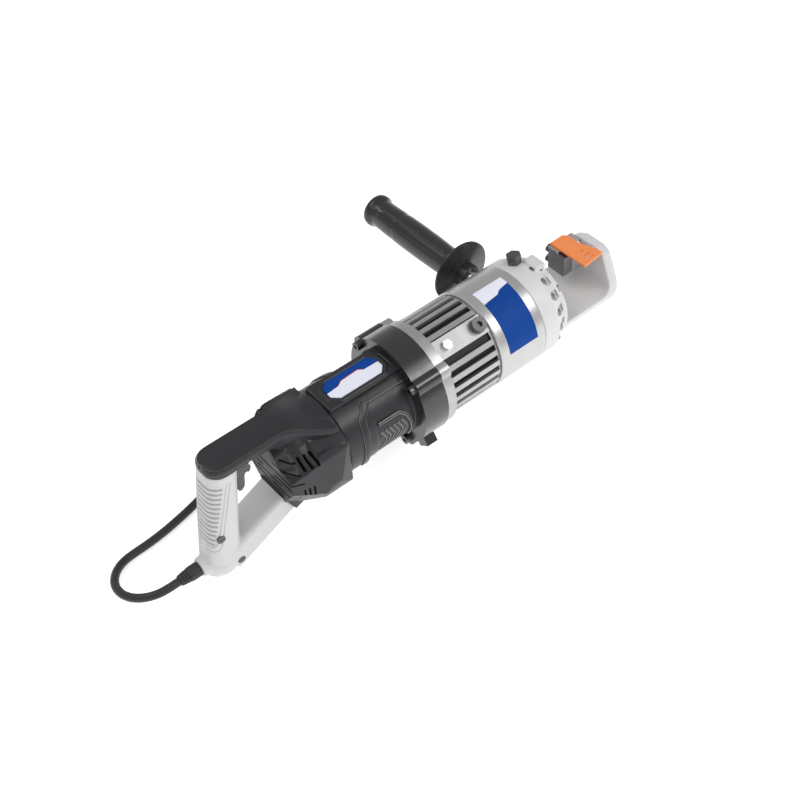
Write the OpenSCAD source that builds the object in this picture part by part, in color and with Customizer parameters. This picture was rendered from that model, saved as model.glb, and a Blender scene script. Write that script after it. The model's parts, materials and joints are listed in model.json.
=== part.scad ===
// Portable electro-hydraulic rebar cutter.
// Tool frame: X runs along the tool towards the cutting head, Y to the left, Z up. X = 0 is the rear
// face of the smooth cylinder body, and Y = Z = 0 is the tool's axis. at_axis() puts that frame into
// the part's own, whose origin is under the middle of the tool, on the surface that it stands on.

/* [Cutting head] */
// Radius of the cylinder body and of the cutting head's flange
body_r = 50; // [49.5:0.5:51]
// Length of the smooth cylinder body
body_len = 55; // [54:0.5:56]
// Front end of the cutting head, along the axis
head_front = 172; // [170:1:176]
// Thickness of the end wall that takes the cutting force
end_wall = 14; // [12:1:15]
// Height of the mouth's floor against the axis
floor_z = -15; // [-17:0.5:-14]
// Width of each cutting blade
blade_w = 21.6; // [20:0.2:22]
// Radius of the piston's head
piston_r = 25.95; // [25.9:0.01:25.97]
// Radius of the piston's rod
rod_r = 14.5; // [14:0.5:14.5]

/* [Pump and gears] */
// Outer radius of the cooling fins
fin_r = 49.4; // [48:0.2:49.6]
// Number of fin places around the pump case
fin_places = 28; // [24:1:30]
// Radius of the gear case
gear_case_r = 54; // [53:0.5:54.5]
// Height of the eccentric shaft's axis against the tool's axis
shaft_z = -26.5; // [-26.6:0.1:-26.4]
// Throw of the eccentric that drives the pump plunger
throw = 1.5; // [1:0.1:1.5]

/* [Motor and handle] */
// Outer radius of the motor housing
motor_r = 43; // [42.5:0.5:44]
// Width of the beam above the grip
beam_w = 35; // [33:1:37]
// Height of the beam's top against the axis
beam_top = 50.5; // [49:0.5:51]
// Height of the tool's axis above the surface that it stands on
axis_height = 92; // [90:1:94]
// Radius of the round lower end of the grip
hub_r = 20; // [19:0.5:21]
// Width of the grip and of its strut
grip_w = 35; // [33:1:36]

/* [Side handle] */
// Distance from the tool's axis to the handle's far end
handle_end = 213; // [205:1:220]
// Radius of the hand guard disc
guard_r = 33; // [30:0.5:35]

/* [Cord] */
// Diameter of the power cord
cord_d = 8; // [7.6:0.2:8]
// Radius of the coil at the middle of its turns
coil_r = 45; // [44:1:47]

/* [Hidden] */
$fn = 96;
hull_fn = 32;
eps = 0.01;
// Stations along the axis
motor_back = -173;
gear_back = -97;
plate_back = -70;
fins_back = -59;
flange_x = body_len;
shoulder_x = 76;
neck_x = 82;
mouth_x = 92;
wall_x = head_front - end_wall;
// The grip and its strut
hub_x = -296;
hub_z = hub_r - axis_height - 0.6;
grip_top = [-284, 34];
grip_foot = [-296, -66];
strut_foot = [hub_x, hub_z - 1];
strut_head = [-203, -27];
beam_back = -302;
beam_under = 33;
trigger_pivot = [-256, 40];
handle_screw_at = [[-298, -30], [-284, -71]];
boot_z = -70;
boot_end = -339;
pinion_teeth = 11;
gear_teeth = 3 * pinion_teeth;
// Fastener rings
case_screw_angles = [40, 140, 238, 302];
case_screw_pcr = 49.6;
head_bolt_first = 98;
head_bolt_step = 20;
head_bolt_pcr = 45.5;
head_bolts_taken = [0, 1, 2, 3, 4, 5, 6, 7, 8, 9, 10, 11, 12, 14, 15];
valve_angle = 78;
valve_x = 70;
side_x = 61;
pad_angle = 120.5;
moving_side = -19.3;
moving_top = 20;
moving_screw = [-11, 10];
// The fixed blade stands on the left of the shear plane and the moving one on its right
shear_gap = 0.3;
blade_low = 3;
blade_high = 26;
fixed_x = 127;
moving_tip = 101;
piston_back = 9;
piston_front = 23;
holder_back = 84;
side_screw_z = [22.3, 10];
guard_z = 28.5;
guard_t = 2;
// The cord's route, by hand: out of the boot, round behind the grip and along the floor
cord_z = cord_d / 2 - axis_height;
lead_route = [
    [-339, 0, -70], [-345, 0, -70.1], [-350, 0.4, -70.6], [-360.2, 2, -71.1], [-369.4, 6.7, -72.4],
    [-376.7, 14, -74.4], [-381.4, 23.2, -76.7], [-383, 33.4, -79.3], [-381.4, 43.6, -81.9], [-376.7, 52.8, -84.2],
    [-369.4, 60.1, -86.2], [-360.2, 64.8, -87.5], [-350, 66.4, cord_z], [-335, 67, cord_z], [-318, 68.6, cord_z],
    [-298, 72, cord_z], [-276, 77, cord_z], [-253, 83.5, cord_z], [-230, 89.5, cord_z], [-205, 94, cord_z],
    [-180, 97, cord_z], [-155, 99, cord_z], [-130, 101, cord_z], [-105, 103, cord_z], [-80, 105.3, cord_z],
    [-55, 108, cord_z], [-30, 111, cord_z], [-5, 113.3, cord_z], [20, 114.7, cord_z]];
tail_route = [
    [22.3, 7.6, -80.4], [12, 12.5, -82], [0, 15.5, -84.5], [-11, 20, -87], [-21, 26, cord_z],
    [-30, 33, cord_z], [-39, 39.5, cord_z], [-48, 45, -86], [-56, 48.4, -80.5],
    [-62.5, 50, -75.2], [-68.5, 50, -73], [-72.9, 50, -73]];
coil_at = [50, 62];
coil_h = 2 * cord_d;
plug_y = 50;
plug_r = 19;
plug_z = plug_r - axis_height;
// The part's box without the cord, for the origin
box_x = [boot_end, head_front];
box_y = [-gear_case_r, handle_end];

// ---- Frames and simple solids -------------------------------------------------------------------

module at_axis() {
    translate([-(box_x[0] + box_x[1]) / 2, -(box_y[0] + box_y[1]) / 2, axis_height]) children();
}

module rod_x(x0, x1, r, y = 0, z = 0) {
    translate([x0, y, z]) rotate([0, 90, 0]) cylinder(h = x1 - x0, r = r);
}

module cone_x(x0, x1, r0, r1, y = 0, z = 0) {
    translate([x0, y, z]) rotate([0, 90, 0]) cylinder(h = x1 - x0, r1 = r0, r2 = r1);
}

module tube_x(x0, x1, ro, ri, y = 0, z = 0) {
    difference() {
        rod_x(x0, x1, ro, y, z);
        rod_x(x0 - 1, x1 + 1, ri, y, z);
    }
}

module rod_y(y0, y1, r, x, z) {
    translate([x, y1, z]) rotate([90, 0, 0]) cylinder(h = y1 - y0, r = r);
}

// A box from its low corner to its high corner
module block(low, high) {
    translate(low) cube(high - low);
}

// Turns a child that stands on +Z so that it stands out from the axis at an angle, measured from +Y
// towards +Z, at station x
module radial(x, angle) {
    translate([x, 0, 0]) rotate([angle - 90, 0, 0]) children();
}

// Copies a child to an angle and radius around the axis
module around(angle, r) {
    rotate([angle, 0, 0]) translate([0, r, 0]) children();
}

// A rectangle with round corners, exact
module round_rect(w, h, r) {
    square([w - 2 * r, h], center = true);
    square([w, h - 2 * r], center = true);
    for (sx = [-1, 1])
        for (sy = [-1, 1])
            translate([sx * (w / 2 - r), sy * (h / 2 - r)]) circle(r);
}

// The corner points of a rectangle with rounded corners
function rounded(w, h, r) = [
    for (q = [0 : 3])
        for (k = [0 : 5])
            let (a = q * 90 + k * 18, sx = (q == 0 || q == 3) ? 1 : -1, sy = q < 2 ? 1 : -1)
                [sx * (w / 2 - r) + r * cos(a), sy * (h / 2 - r) + r * sin(a)]];

// A bar with rounded corners along a line from a to b in the XZ plane; w is its size across Y
module bar(a, b, w, h, r) {
    run = b - a;
    translate([a[0], 0, a[1]]) rotate([0, atan2(run[0], run[1]), 0])
        linear_extrude(norm(run)) polygon(rounded(h, w, r));
}

// A bearing with its two rings and the shallow groove between them
module bearing(x0, x1, ro, ri, z = 0) {
    mid = (ro + ri) / 2;
    land = (ro - ri) / 6;
    difference() {
        tube_x(x0, x1, ro, ri, 0, z);
        for (x = [x0 - 1, x1 - 0.6])
            tube_x(x, x + 1.6, mid + land, mid - land, 0, z);
    }
}

// A spur gear: its teeth are narrow trapezoids on a root cylinder
module gear(x0, x1, tip_r, root_r, bore_r, teeth, phase, z = 0) {
    pitch = 360 / teeth;
    translate([x0, 0, z]) rotate([0, 90, 0]) linear_extrude(x1 - x0) difference() {
        union() {
            circle(root_r);
            for (i = [0 : teeth - 1])
                rotate((i + phase) * pitch)
                    polygon([[root_r - 0.4, -0.75], [tip_r, -0.38], [tip_r, 0.38], [root_r - 0.4, 0.75]]);
        }
        circle(bore_r);
    }
}

// A tube swept along a route's points, with a ring of sides at each point
function unit(v) = v / norm(v);
function heading(p, i) =
    unit(p[min(i + 1, len(p) - 1)] - p[max(i - 1, 0)]);
function side_of(d) = unit(cross([0, 0, 1], d));
module sweep(p, r, sides = 8) {
    rings = [for (i = [0 : len(p) - 1])
        let (d = heading(p, i), u = side_of(d), v = cross(d, u))
            for (k = [0 : sides - 1])
                p[i] + r * (cos(k * 360 / sides) * u + sin(k * 360 / sides) * v)];
    last = (len(p) - 1) * sides;
    walls = [for (i = [0 : len(p) - 2])
        for (k = [0 : sides - 1])
            let (a = i * sides + k, b = i * sides + (k + 1) % sides)
                [a, a + sides, b + sides, b]];
    caps = [[for (k = [0 : sides - 1]) k], [for (k = [sides - 1 : -1 : 0]) last + k]];
    polyhedron(rings, concat(walls, caps), convexity = 6);
}

// ---- Motor --------------------------------------------------------------------------------------

module motor_housing() {
    color([0.13, 0.13, 0.14]) at_axis() difference() {
        union() {
            rod_x(motor_back, gear_back, motor_r);
            block([motor_back, -19, 20], [gear_back - 3, 19, motor_r + 1.5]);
            rod_x(gear_back - 5, gear_back, 44.9);
            for (side = [-1, 1])
                block([-160, side > 0 ? 30 : -44.5, -26], [gear_back - 6, side > 0 ? 44.5 : -30, -14]);
        }
        rod_x(motor_back - 1, gear_back + 1, 39);
    }
}

module stator_core() {
    color([0.45, 0.46, 0.48]) at_axis() difference() {
        tube_x(-168, -128, 39, 23);
        for (side = [-1, 1])
            block([-169, -17, side > 0 ? 24 : -34], [-127, 17, side > 0 ? 34 : -24]);
    }
}

module field_coils() {
    color([0.62, 0.33, 0.16]) at_axis() {
        tube_x(-176, -168, 36, 25);
        tube_x(-128, -120, 36, 25);
    }
}

module armature_shaft() {
    color([0.7, 0.7, 0.72]) at_axis() union() {
        rod_x(-222, -214, 4);
        rod_x(-214, gear_back + 5, 5);
        rod_x(gear_back + 5, -79, 3.5);
    }
}

module armature_core() {
    color([0.4, 0.41, 0.43]) at_axis() difference() {
        tube_x(-170, -126, 22, 5);
        for (a = [0 : 30 : 330])
            around(a, 22) block([-171, -4, -1.2], [-125, 1, 1.2]);
    }
}

module armature_windings() {
    color([0.6, 0.32, 0.16]) at_axis() {
        tube_x(-181, -170, 20, 5);
        tube_x(-126, -117, 20, 5);
    }
}

module commutator() {
    color([0.72, 0.42, 0.2]) at_axis() difference() {
        tube_x(-204, -186, 13, 5);
        for (a = [0 : 15 : 345])
            around(a, 13) block([-205, -1.2, -0.3], [-188, 1, 0.3]);
    }
}

module cooling_fan() {
    color([0.2, 0.2, 0.2]) at_axis() union() {
        tube_x(-114, -104, 9, 5);
        tube_x(-106, -104, 34, 8.5);
        for (a = [0 : 30 : 330])
            rotate([a, 0, 0]) block([-113, 8, -1], [-105, 33, 1]);
    }
}

module drive_pinion() {
    color([0.6, 0.6, 0.62]) at_axis() gear(-90, -79, 7.3, 5.3, 3.5, pinion_teeth, 0);
}

module rear_bearing() {
    color([0.75, 0.75, 0.77]) at_axis() bearing(-222, -215, 11, 4.02);
}

module front_bearing() {
    color([0.75, 0.75, 0.77]) at_axis() bearing(-101, -93, 13, 5.02);
}

module brush_holders() {
    color([0.75, 0.6, 0.3]) at_axis()
        for (side = [-1, 1])
            scale([1, side, 1]) difference() {
                block([-201, 16, -6], [-189, 38, 6]);
                block([-199, 15, -3.2], [-191, 36, 3.2]);
            }
}

module carbon_brushes() {
    color([0.1, 0.1, 0.1]) at_axis()
        for (side = [-1, 1])
            scale([1, side, 1]) difference() {
                block([-198.9, 11, -3.1], [-191.1, 31, 3.1]);
                rod_x(-200, -190, 13.05);
            }
}

// ---- Rear cover, beam and grip ------------------------------------------------------------------

// The beam's outline seen from the side, at a margin inside its skin
module beam_side(margin, high) {
    polygon([
        [beam_back + beam_w / 2, beam_under], [-222, beam_under], [-214, 20], [-180, 20], [-180, high - 7],
        [-214, high], [beam_back + beam_w / 2, high]]);
}

module beam_shape(w, high, back) {
    translate([0, w / 2, 0]) rotate([90, 0, 0]) linear_extrude(w) beam_side(0, high);
    translate([beam_back + beam_w / 2, 0, beam_under]) cylinder(h = high - beam_under, r = back);
}

module cover_shape(inset) {
    cone_x(-232 + inset, -222, 28 - inset, 38 - inset);
    cone_x(-222, -205, 38 - inset, motor_r - inset);
    rod_x(-205, motor_back, motor_r - inset);
}

module rear_cover() {
    color([0.15, 0.15, 0.16]) at_axis() difference() {
        union() {
            cover_shape(0);
            beam_shape(beam_w, beam_top, beam_w / 2);
            bar([-228, -39.5], [-205, -27.8], grip_w + 5, 33, 12);
        }
        difference() {
            cover_shape(4);
            rod_x(-229, -214, 14.5);
        }
        rod_x(-222, -213, 11);
        rod_x(-230, -220, 8);
        // The beam holds the switch and the trigger, and is open over the grip
        block([-291, -12, beam_under - 1], [-236, 12, beam_top - 4]);
        rod_y(-beam_w, beam_w, 2.05, trigger_pivot[0], trigger_pivot[1]);
        // The strut's socket
        bar([-235, -43], [-212, -31.4], grip_w, 28, 11);
        // Cooling slots in the rear face and the lower sides
        for (z = [-24 : 7 : -3])
            for (side = [-1, 1])
                block([-240, side > 0 ? 5 : -23, z], [-226.5, side > 0 ? 23 : -5, z + 2.4]);
        for (x = [-213 : 6 : -201])
            for (side = [-1, 1])
                block([x, side > 0 ? 30 : -46, -16], [x + 2.4, side > 0 ? 46 : -30, -2]);
    }
}

// The grip, its foot and its strut as one outline; inset makes the cavity
module grip_shape(inset) {
    w = grip_w - 2 * inset;
    bar(grip_foot, grip_top, w, 35 - 2 * inset, 13 - inset);
    bar(strut_foot, [-212.5, -31.6], w - 0.4, 28 - 2 * inset, 11 - inset);
    rod_y(-w / 2 - 0.3, w / 2 + 0.3, hub_r - inset, hub_x, hub_z);
}

module grip_half(side) {
    difference() {
        intersection() {
            difference() {
                grip_shape(0);
                difference() {
                    grip_shape(3);
                    for (p = handle_screw_at)
                        rod_y(-grip_w, grip_w, 5, p[0], p[1]);
                }
            }
            block([-330, side > 0 ? 0 : -30, -axis_height], [-190, side > 0 ? 30 : 0, 33]);
        }
        for (p = handle_screw_at) {
            rod_y(-grip_w, grip_w, 2.1, p[0], p[1]);
            rod_y(-grip_w, -grip_w / 2 + 3, 4.2, p[0], p[1]);
        }
        // The trigger's slot and the hole for the cord's boot
        block([-277, -7, -16], [-255, 7, 40]);
        rod_x(-330, -305, 7.2, 0, boot_z);
    }
}

module handle_half_left() {
    color([0.8, 0.81, 0.82]) at_axis() grip_half(1);
}

module handle_half_right() {
    color([0.8, 0.81, 0.82]) at_axis() grip_half(-1);
}

module handle_screws() {
    color([0.35, 0.35, 0.36]) at_axis()
        for (p = handle_screw_at)
            difference() {
                union() {
                    rod_y(-grip_w / 2 + 3, 12, 2, p[0], p[1]);
                    rod_y(-grip_w / 2 + 0.6, -grip_w / 2 + 3, 4, p[0], p[1]);
                }
                block([p[0] - 3, -grip_w / 2, p[1] - 0.5], [p[0] + 3, -grip_w / 2 + 1.8, p[1] + 0.5]);
            }
}

module trigger() {
    color([0.3, 0.3, 0.31]) at_axis() difference() {
        union() {
            translate([0, 6, 0]) rotate([90, 0, 0]) linear_extrude(12) polygon([
                [-272, 32], [-262, 41], [-252, 41], [-249.5, 34], [-249.5, 20], [-256, 15], [-258.5, 5], [-257, -3],
                [-261, -8], [-265.5, -8], [-267.5, -2], [-266, 12], [-268, 20], [-272, 23]]);
            rod_y(-6.5, 6.5, 5, trigger_pivot[0], trigger_pivot[1]);
        }
        rod_y(-9, 9, 2.05, trigger_pivot[0], trigger_pivot[1]);
    }
}

module trigger_pin() {
    color([0.7, 0.7, 0.72]) at_axis()
        rod_y(-beam_w / 2 + 1, beam_w / 2 - 1, 2, trigger_pivot[0], trigger_pivot[1]);
}

module power_switch() {
    color([0.12, 0.12, 0.13]) at_axis() union() {
        block([-290, -9, 34], [-276, 9, 46]);
        rod_x(-276, -273.4, 2.5, 0, 40);
    }
}

// ---- Gear case and pump -------------------------------------------------------------------------

// Lobes round the screws, set a little back from the faces they run between
module screw_lobes(x0, x1, r) {
    for (a = case_screw_angles)
        around(a, case_screw_pcr - 1) rod_x(x0, x1, r);
}

module screw_holes(x0, x1, r) {
    for (a = case_screw_angles)
        around(a, case_screw_pcr) rod_x(x0, x1, r);
}

module gear_case() {
    color([0.1, 0.1, 0.11]) at_axis() difference() {
        union() {
            rod_x(gear_back, plate_back, gear_case_r);
            screw_lobes(gear_back + 0.2, plate_back - 0.2, 9);
            rod_x(gear_back - 5, gear_back, 17);
            // Feet that keep the tool from rolling
            for (a = [234, 306])
                around(a, 56) block([-88, -6, -7], [-76, 8, 7]);
        }
        difference() {
            rod_x(gear_back + 6, plate_back + 1, 49);
            screw_lobes(gear_back, plate_back + 2, 7);
        }
        rod_x(gear_back - 6, -93, 13);
        rod_x(-94, plate_back, 8);
        screw_holes(gear_back - 1, plate_back + 1, 2.6);
    }
}

module case_screws() {
    color([0.25, 0.25, 0.26]) at_axis()
        for (a = case_screw_angles)
            around(a, case_screw_pcr) difference() {
                union() {
                    rod_x(gear_back, -62, 2.5);
                    rod_x(gear_back - 5, gear_back, 4.5);
                }
                translate([gear_back - 6, 0, 0]) rotate([0, 90, 0]) cylinder(h = 3.5, r = 2.3, $fn = 6);
            }
}

module drive_gear() {
    color([0.6, 0.6, 0.62]) at_axis() gear(-90, -80, 20.5, 18.6, 6, gear_teeth, 0, shaft_z);
}

module eccentric_shaft() {
    color([0.66, 0.66, 0.68]) at_axis() union() {
        rod_x(-90.6, -37, 6, 0, shaft_z);
        rod_x(-57, -47, 8, 0, shaft_z + throw);
    }
}

module eccentric_bearing() {
    color([0.75, 0.75, 0.77]) at_axis() bearing(-57, -47, 12, 8, shaft_z + throw);
}

module shaft_bearing() {
    color([0.75, 0.75, 0.77]) at_axis() bearing(plate_back, -62, 14, 6.02, shaft_z);
}

module bearing_plate() {
    color([0.66, 0.67, 0.68]) at_axis() difference() {
        rod_x(plate_back, fins_back, 41);
        rod_x(plate_back - 1, -62, 14, 0, shaft_z);
        rod_x(-63, fins_back + 1, 7, 0, shaft_z);
    }
}

module pump_block() {
    color([0.5, 0.51, 0.52]) at_axis() difference() {
        union() {
            block([fins_back, -16, -11.5], [-36, 16, 18]);
            block([-45, -12, -35], [-36, 12, -11]);
        }
        rod_x(-46, -35, 6.03, 0, shaft_z);
        translate([-52, 0, -12]) cylinder(h = 24, r = 4.02);
        rod_x(-53, -35, 2, 0, 8);
    }
}

module pump_plunger() {
    color([0.78, 0.78, 0.8]) at_axis() union() {
        translate([-52, 0, shaft_z + throw + 12.1]) cylinder(h = 17, r = 4);
    }
}

// The fins round the pump case, left out under the flat pad that carries the filler plug
module pump_case() {
    step = 360 / fin_places;
    color([0.72, 0.73, 0.74]) at_axis() difference() {
        union() {
            rod_x(plate_back, fins_back, 52.4);
            screw_lobes(plate_back + 0.2, fins_back - 0.2, 8.4);
            rod_x(fins_back, 0, 44.4);
            for (i = [0 : fin_places - 1])
                if (abs(pad_angle - i * step - 2) > 1.2 * step)
                    rotate([i * step + 2, 0, 0]) block([fins_back - 2, 42.5, -2.6], [-3, fin_r, 2.6]);
            radial(0, pad_angle) block([fins_back - 2, -9.5, 42.5], [-1.2, 9.5, fin_r - 1]);
            rod_x(-2.5, 0, 47);
        }
        rod_x(plate_back - 1, 1, 41);
        screw_holes(plate_back - 1, -61, 2.6);
        radial(-9, pad_angle) translate([0, 0, 30]) cylinder(h = 30, r = 5);
        radial(-46, pad_angle) translate([0, 0, 30]) cylinder(h = 30, r = 2.5);
    }
}

module oil_bladder() {
    color([0.12, 0.12, 0.12]) at_axis() tube_x(-32, -6, 40.6, 36);
}

module oil_plug() {
    color([0.5, 0.5, 0.5]) at_axis() radial(-9, pad_angle) difference() {
        union() {
            translate([0, 0, 41]) cylinder(h = 9, r = 4.9);
            translate([0, 0, fin_r]) cylinder(h = 5.5, r = 7.4);
        }
        translate([0, 0, fin_r + 2]) cylinder(h = 5, r = 3, $fn = 6);
    }
}

module plug_washer() {
    color([0.72, 0.45, 0.2]) at_axis() radial(-9, pad_angle) difference() {
        translate([0, 0, fin_r - 1]) cylinder(h = 1, r = 7);
        translate([0, 0, fin_r - 2]) cylinder(h = 3, r = 5);
    }
}

module vent_bolt() {
    color([0.75, 0.75, 0.75]) at_axis() radial(-46, pad_angle) union() {
        translate([0, 0, 41]) cylinder(h = 8, r = 2.4);
        translate([0, 0, fin_r - 1]) cylinder(h = 4.2, r = 5, $fn = 6);
    }
}

// ---- Cylinder and cutting head ------------------------------------------------------------------

module cylinder_body() {
    color([0.76, 0.76, 0.77]) at_axis() difference() {
        union() {
            cone_x(0, 1.2, body_r - 1.2, body_r);
            rod_x(1.2, body_len - 0.8, body_r);
            cone_x(body_len - 0.8, body_len, body_r, body_r - 0.8);
        }
        rod_x(7, body_len + 1, 26);
        rod_x(-1, 8, 3);
        for (i = head_bolts_taken)
            around(head_bolt_first + head_bolt_step * i, head_bolt_pcr)
                rod_x(40, body_len + 1, 3);
    }
}

// The head's cross-section: flat on top, sloping sides and a rounded belly
module head_section() {
    polygon([
        [12, 30], [20.5, 25.5], [33.5, -4], [36, -14], [34.5, -22], [30, -29], [23, -34], [13, -36],
        [-13, -36], [-23, -34], [-30, -29], [-34.5, -22], [-36, -14], [-33.5, -4], [-20.5, 25.5], [-12, 30]]);
}

module cutter_head() {
    cove = 12;
    color([0.82, 0.82, 0.83]) at_axis() difference() {
        union() {
            cone_x(flange_x, flange_x + 0.8, body_r - 0.8, body_r);
            rod_x(flange_x + 0.8, shoulder_x, body_r);
            cone_x(shoulder_x, neck_x, body_r, body_r - 5);
            rod_x(neck_x, mouth_x - 2, 42.5);
            cone_x(mouth_x - 2, mouth_x, 42.5, 40.5);
            block([77, -11, 30], [90, 7, 51.5]);
            translate([mouth_x - 8, 0, 0]) rotate([90, 0, 90]) linear_extrude(head_front - mouth_x + 8)
                head_section();
        }
        // The mouth, with a cove where its floor meets the end wall
        difference() {
            block([mouth_x, -60, floor_z], [wall_x, 60, 60]);
            difference() {
                block([wall_x - cove, -60, floor_z], [wall_x + 1, 60, floor_z + cove]);
                rod_y(-60, 60, cove, wall_x - cove, floor_z + cove);
            }
        }
        rod_x(flange_x - 1, 70, 26);
        rod_x(69, 83, 20);
        rod_x(82, holder_back, 18);
        rod_x(83, mouth_x + 1, rod_r + 0.4);
        // The pocket that the blade holder goes back into
        block([holder_back - 0.5, -22, -12], [mouth_x + 1, 12, 23]);
        // Pockets for the cap screws' heads, open to the front and to the outside
        for (i = head_bolts_taken)
            around(head_bolt_first + head_bolt_step * i, head_bolt_pcr) {
                rod_x(flange_x - 1, 70, 3.1);
                rod_x(69, neck_x + 1, 5.8);
            }
        radial(valve_x, valve_angle) translate([0, 0, 36]) cylinder(h = 20, r = 5);
        rod_y(36, 60, 6.05, side_x, 0);
        // Holes for the fixed blade's screws, through the end wall
        for (z = [blade_low + 6, blade_high - 6]) {
            rod_x(wall_x - 1, head_front + 1, 2.6, 11, z);
            rod_x(head_front - 5, head_front + 1, 4.6, 11, z);
        }
    }
}

module head_bolts() {
    color([0.55, 0.55, 0.56]) at_axis()
        for (i = head_bolts_taken)
            around(head_bolt_first + head_bolt_step * i, head_bolt_pcr) difference() {
                union() {
                    rod_x(42, 69, 2.95);
                    rod_x(69, 76, 5);
                }
                translate([73, 0, 0]) rotate([0, 90, 0]) cylinder(h = 4, r = 2.8, $fn = 6);
            }
}

module piston() {
    color([0.78, 0.78, 0.8]) at_axis() difference() {
        union() {
            rod_x(piston_back, piston_front, piston_r);
            rod_x(piston_front, holder_back, rod_r);
        }
        tube_x(14, 17, piston_r + 1, 23);
        rod_x(piston_back - 1, 18, 8);
    }
}

module piston_seal() {
    color([0.1, 0.1, 0.1]) at_axis() tube_x(14, 17, piston_r, 23);
}

module return_spring() {
    turns = 5;
    per_turn = 18;
    length = 70 - piston_front - 4;
    color([0.6, 0.6, 0.62]) at_axis() rotate([0, 90, 0]) sweep(
        [for (i = [0 : turns * per_turn])
            [20.3 * cos(i * 360 / per_turn), 20.3 * sin(i * 360 / per_turn),
                piston_front + 2 + length * i / (turns * per_turn)]], 1.6);
}

module guide_bush() {
    color([0.7, 0.52, 0.25]) at_axis() tube_x(70, 80, 20, rod_r + 0.05);
}

module rod_wiper() {
    color([0.1, 0.1, 0.1]) at_axis() tube_x(80, 83, 20, rod_r + 0.05);
}

module blade_holder() {
    color([0.5, 0.5, 0.52]) at_axis()
        block([holder_back, moving_side, -10], [holder_back + 6, 10, moving_top]);
}

module moving_blade() {
    color([0.55, 0.56, 0.58]) at_axis() difference() {
        block([holder_back + 6, moving_side, 0], [moving_tip, -shear_gap, moving_top]);
        rod_x(holder_back, moving_tip + 1, 2.7, moving_screw[0], moving_screw[1]);
        rod_x(moving_tip - 4, moving_tip + 1, 4.6, moving_screw[0], moving_screw[1]);
    }
}

module fixed_blade() {
    color([0.45, 0.46, 0.48]) at_axis() difference() {
        block([fixed_x, shear_gap, blade_low], [fixed_x + 12, blade_w + shear_gap, blade_high]);
        for (z = side_screw_z)
            rod_y(blade_w - 10, blade_w + 1, 2.05, fixed_x + 4.5, z);
    }
}

module blade_block() {
    color([0.62, 0.63, 0.64]) at_axis() difference() {
        union() {
            block([fixed_x + 12, shear_gap, blade_low - 1], [wall_x, blade_w + shear_gap, blade_high]);
            block([fixed_x + 12, 9, blade_high - 1], [wall_x, blade_w + shear_gap, guard_z]);
            block([fixed_x, 9, blade_high], [fixed_x + 13, blade_w + shear_gap, guard_z]);
        }
        for (z = [blade_low + 6, blade_high - 6])
            rod_x(wall_x - 10, wall_x + 1, 2.6, 11, z);
    }
}

module blade_screws() {
    color([0.3, 0.3, 0.31]) at_axis()
        for (z = [blade_low + 6, blade_high - 6])
            difference() {
                union() {
                    rod_x(wall_x - 9, head_front - 5, 2.5, 11, z);
                    rod_x(head_front - 5, head_front - 0.5, 4.4, 11, z);
                }
                translate([head_front - 3, 11, z]) rotate([0, 90, 0]) cylinder(h = 3, r = 2.3, $fn = 6);
            }
}

module moving_blade_screw() {
    color([0.3, 0.3, 0.31]) at_axis() difference() {
        union() {
            rod_x(holder_back + 6, moving_tip - 4, 2.5, moving_screw[0], moving_screw[1]);
            rod_x(moving_tip - 4, moving_tip - 0.3, 4.4, moving_screw[0], moving_screw[1]);
        }
        translate([moving_tip - 2.3, moving_screw[0], moving_screw[1]]) rotate([0, 90, 0])
            cylinder(h = 3, r = 2.3, $fn = 6);
    }
}

module guard_plate() {
    color([0.98, 0.52, 0.25]) at_axis() translate([0, 0, guard_z]) linear_extrude(guard_t) difference() {
        polygon([
            [130, 23], [147, 23.5], [150, 20], [151, 14], [150.5, 7], [151.5, 0], [154.5, -7], [157.3, -15],
            [157.5, -21], [130.5, -24]]);
        for (y = [-12.5, -17.5])
            translate([144, y]) union() {
                square([6, 2.4], center = true);
                for (x = [-3, 3])
                    translate([x, 0]) circle(1.2);
            }
        translate([144, -6]) circle(1.3);
    }
}

module side_screws() {
    color([0.4, 0.4, 0.41]) at_axis()
        for (z = side_screw_z)
            union() {
                rod_y(blade_w + shear_gap, blade_w + shear_gap + 4.5, 4.4, fixed_x + 4.5, z);
                rod_y(blade_w - 9, blade_w + shear_gap, 2, fixed_x + 4.5, z);
            }
}

module release_valve() {
    color([0.08, 0.08, 0.08]) at_axis() radial(valve_x, valve_angle) union() {
        translate([0, 0, 40]) cylinder(h = 11.4, r = 4.95);
        translate([0, 0, body_r + 0.6]) cylinder(h = 8.6, r = 7.6, $fn = 6);
    }
}

// ---- Side handle --------------------------------------------------------------------------------

module handle_stud() {
    color([0.55, 0.55, 0.57]) at_axis() union() {
        rod_y(38, 128, 6, side_x, 0);
        rod_y(body_r, 62, 9, side_x, 0);
    }
}

module side_handle() {
    color([0.1, 0.1, 0.1]) at_axis() translate([side_x, 0, 0]) rotate([-90, 0, 0]) rotate_extrude() polygon([
        [6, 62], [12.5, 62], [12.5, 74], [guard_r - 2, 76.5], [guard_r, 78], [guard_r, 80], [guard_r - 2, 81],
        [16, 81], [14.2, 84], [14.6, 100], [15.8, 125], [16, 140], [15.4, 165], [14.8, 190],
        [15, handle_end - 9], [17, handle_end - 7], [17.2, handle_end - 2], [15, handle_end], [0, handle_end],
        [0, 128], [6, 128]]);
}

// ---- Power cord ---------------------------------------------------------------------------------

module cord_boot() {
    color([0.08, 0.08, 0.08]) at_axis() union() {
        rod_x(-317, -309, 7.2, 0, boot_z);
        cone_x(boot_end, -317, 5.4, 7.2, 0, boot_z);
    }
}

module cord_lead() {
    color([0.07, 0.07, 0.07]) at_axis() sweep(lead_route, cord_d / 2);
}

module cord_coil() {
    color([0.07, 0.07, 0.07]) at_axis() translate([coil_at[0], coil_at[1], -axis_height]) rotate_extrude()
        translate([coil_r, coil_h / 2]) round_rect(3 * cord_d, coil_h, cord_d / 2);
}

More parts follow.
